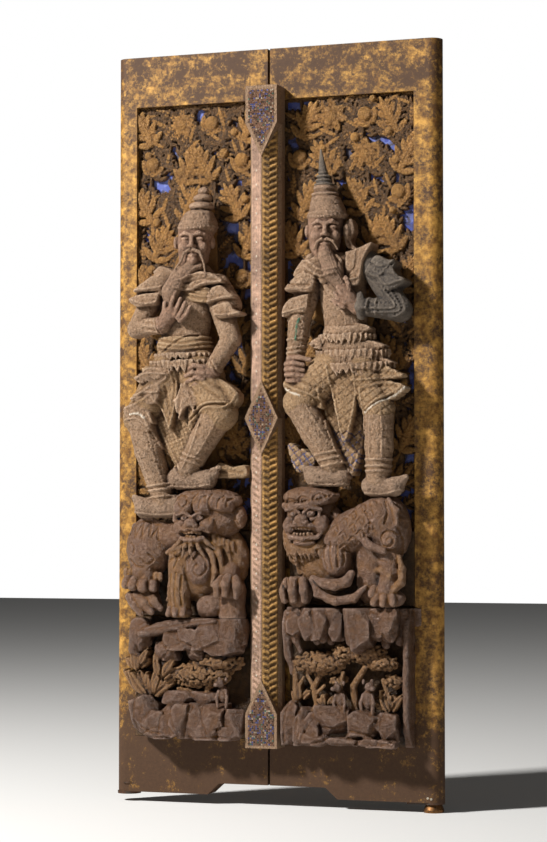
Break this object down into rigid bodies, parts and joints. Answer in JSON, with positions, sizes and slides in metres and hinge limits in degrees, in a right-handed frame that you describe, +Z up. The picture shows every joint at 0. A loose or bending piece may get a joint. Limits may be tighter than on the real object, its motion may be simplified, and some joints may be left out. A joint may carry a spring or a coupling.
{
  "type": "temple gate",
  "caption": "Double-leaf carved wooden temple gate on pivots: gilt borders, openwork foliage over blue glass, guardians standing on lions, and a ridged astragal with glass mosaic.",
  "frame": {"origin": "on the sill line, at the meeting line of the two leaves, level with the front faces of the leaves", "axes": "+Z up along the leaves, +Y from the carved front to the plain back, +X to the viewer's right"},
  "size_m": [1.103, 0.2136, 2.432],
  "materials": {
    "gilt_frame": "worn gold leaf over dark lacquer",
    "gilt_foliage": "carved wood with worn gold leaf",
    "dusty_gilt": "carved wood, dusty gilding",
    "dark_gilt": "carved wood, dark lacquer with gold left in the hollows",
    "grey_wood": "bare grey replacement wood",
    "blue_glass": "opaque mirrored glass mosaic",
    "mosaic_glass": "small coloured glass pieces in dark putty",
    "bronze": "worn cast bronze",
    "iron": "rusted wrought iron"
  },
  "bodies": {
    "pivot_seats": {"right_pivot_shoe": "bronze", "left_pivot_disc": "iron"},
    "left_leaf": {"left_leaf_plank": "gilt_frame", "left_glass_ground": "blue_glass", "left_foliage_panel": "gilt_foliage", "left_guardian": "dusty_gilt", "left_lion": "dark_gilt", "left_rockwork": "dark_gilt", "astragal": "dusty_gilt", "astragal_top_mosaic": "mosaic_glass", "astragal_lozenge_mosaic": "mosaic_glass", "astragal_foot_mosaic": "mosaic_glass", "left_pivot_pin": "iron"},
    "right_leaf": {"right_leaf_plank": "gilt_frame", "right_glass_ground": "blue_glass", "right_foliage_panel": "gilt_foliage", "right_guardian": "dusty_gilt", "right_guardian_arm": "grey_wood", "right_guardian_spire": "grey_wood", "right_lion": "dark_gilt", "right_rockwork": "dark_gilt", "right_sole_plate": "iron", "right_pivot_pin": "iron"}
  },
  "joints": [
    {"name": "right_leaf_swing", "type": "hinge", "parent": "pivot_seats", "child": "right_leaf", "pos_m": [0.535, 0.035, 0], "axis": [0, 0, -1], "range_deg": [0, 105]},
    {"name": "left_leaf_swing", "type": "hinge", "parent": "pivot_seats", "child": "left_leaf", "pos_m": [-0.495, 0.035, 0], "axis": [0, 0, 1], "range_deg": [0, 90]}
  ],
  "couplings": [
    {"joint": "left_leaf_swing", "follows": "right_leaf_swing", "ratio": 0.85}
  ]
}
